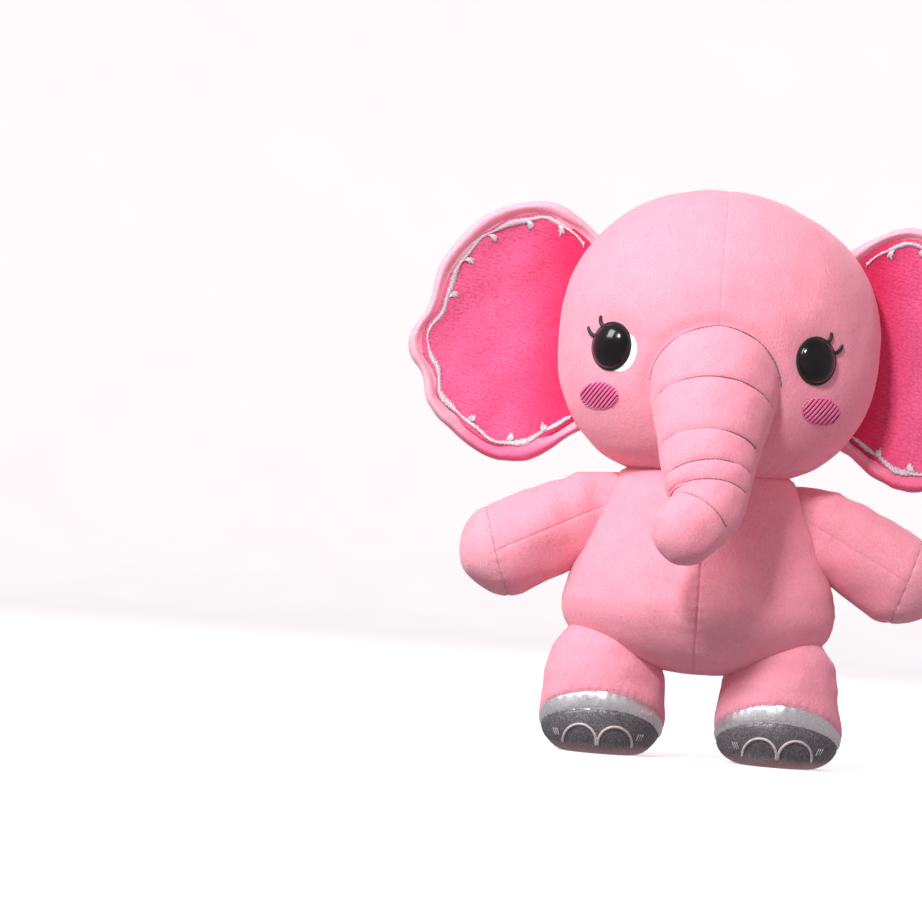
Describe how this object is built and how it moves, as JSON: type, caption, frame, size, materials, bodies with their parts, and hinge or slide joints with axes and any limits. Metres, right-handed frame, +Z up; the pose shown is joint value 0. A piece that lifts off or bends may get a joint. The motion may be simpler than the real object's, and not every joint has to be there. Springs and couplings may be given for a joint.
{
  "type": "stuffed elephant",
  "caption": "Standing plush elephant with big round ears, long ringed trunk, oval glossy eyes, stub arms and legs with silver-toed soles.",
  "frame": {"origin": "centre of the bounding box at floor level, between the feet", "axes": "+Z up; the trunk points to -Y; +X is the elephant's own left"},
  "size_m": [0.326, 0.1948, 0.3],
  "materials": {
    "plush_pink": "matte",
    "knit_pink": "matte",
    "hand_plush": "matte",
    "eye_gloss": "gloss",
    "washer_white": "satin",
    "felt_black": "matte",
    "felt_white": "matte",
    "cheek_thread": "satin",
    "thread_black": "matte",
    "thread_grey": "matte",
    "trim_silver": "satin",
    "lame_silver": "gloss",
    "glitter_grey": "satin",
    "motif_thread": "satin",
    "stuffing_white": "matte",
    "pellet_bag": "matte",
    "tuft_pink": "matte"
  },
  "bodies": {
    "torso": {"torso_panel_front_left": "plush_pink", "torso_panel_front_right": "plush_pink", "torso_panel_back": "plush_pink", "torso_stuffing": "stuffing_white"},
    "head": {"head_panel_left": "plush_pink", "head_panel_right": "plush_pink", "head_stuffing": "stuffing_white", "eye_highlight_patch": "felt_white", "trunk_root_stitch": "thread_grey", "eye_left": "eye_gloss", "eye_right": "eye_gloss", "eye_washer_left": "washer_white", "eye_washer_right": "washer_white", "eye_backing_left": "felt_black", "eye_backing_right": "felt_black", "lashes_left": "thread_black", "lashes_right": "thread_black", "cheek_patch_left": "cheek_thread", "cheek_patch_right": "cheek_thread"},
    "trunk": {"trunk_upper_panel": "plush_pink", "trunk_under_panel": "plush_pink", "trunk_stuffing": "stuffing_white", "trunk_ring_stitches": "thread_grey"},
    "tail": {"tail": "plush_pink", "tail_tuft": "tuft_pink"},
    "ear_left": {"ear_back_left": "plush_pink", "ear_wadding_left": "stuffing_white", "ear_lining_left": "knit_pink", "ear_trim_left": "trim_silver"},
    "arm_left": {"arm_upper_panel_left": "plush_pink", "arm_lower_panel_left": "plush_pink", "hand_cap_left": "hand_plush", "arm_stuffing_left": "stuffing_white"},
    "leg_left": {"leg_sleeve_left": "plush_pink", "toe_band_left": "lame_silver", "sole_left": "glitter_grey", "sole_motif_left": "motif_thread", "leg_stuffing_left": "stuffing_white", "pellet_bag_left": "pellet_bag"},
    "ear_right": {"ear_back_right": "plush_pink", "ear_wadding_right": "stuffing_white", "ear_lining_right": "knit_pink", "ear_trim_right": "trim_silver"},
    "arm_right": {"arm_upper_panel_right": "plush_pink", "arm_lower_panel_right": "plush_pink", "hand_cap_right": "hand_plush", "arm_stuffing_right": "stuffing_white"},
    "leg_right": {"leg_sleeve_right": "plush_pink", "toe_band_right": "lame_silver", "sole_right": "glitter_grey", "sole_motif_right": "motif_thread", "leg_stuffing_right": "stuffing_white", "pellet_bag_right": "pellet_bag"}
  },
  "joints": [
    {"name": "head_turn", "type": "hinge", "parent": "torso", "child": "head", "pos_m": [0, 0.024, 0.15], "axis": [0, 0, 1], "range_deg": [-25, 25], "stiffness_Nm_per_rad": 1},
    {"name": "trunk_lift", "type": "hinge", "parent": "head", "child": "trunk", "pos_m": [0, -0.032, 0.193], "axis": [-1, 0, 0], "range_deg": [0, 45], "stiffness_Nm_per_rad": 0.5},
    {"name": "ear_fold_left", "type": "hinge", "parent": "head", "child": "ear_left", "pos_m": [0.072, 0.035, 0.218], "axis": [0, 0, -1], "range_deg": [-20, 30], "stiffness_Nm_per_rad": 0.2},
    {"name": "arm_swing_left", "type": "hinge", "parent": "torso", "child": "arm_left", "pos_m": [0.059, 0.024, 0.1255], "axis": [-0.3939, 0, -0.9191], "range_deg": [-15, 26], "stiffness_Nm_per_rad": 0.5},
    {"name": "hip_swing_left", "type": "hinge", "parent": "torso", "child": "leg_left", "pos_m": [0.0465, 0.018, 0.046], "axis": [-1, 0, 0], "range_deg": [-10, 25], "stiffness_Nm_per_rad": 3},
    {"name": "ear_fold_right", "type": "hinge", "parent": "head", "child": "ear_right", "pos_m": [-0.072, 0.035, 0.218], "axis": [0, 0, 1], "range_deg": [-20, 30], "stiffness_Nm_per_rad": 0.2},
    {"name": "arm_swing_right", "type": "hinge", "parent": "torso", "child": "arm_right", "pos_m": [-0.059, 0.024, 0.1255], "axis": [-0.3939, 0, 0.9191], "range_deg": [-15, 26], "stiffness_Nm_per_rad": 0.5},
    {"name": "hip_swing_right", "type": "hinge", "parent": "torso", "child": "leg_right", "pos_m": [-0.0465, 0.018, 0.046], "axis": [-1, 0, 0], "range_deg": [-10, 25], "stiffness_Nm_per_rad": 3},
    {"name": "tail_swing", "type": "hinge", "parent": "torso", "child": "tail", "pos_m": [0, 0.081, 0.08], "axis": [1, 0, 0], "range_deg": [-6, 40], "stiffness_Nm_per_rad": 0.03}
  ]
}
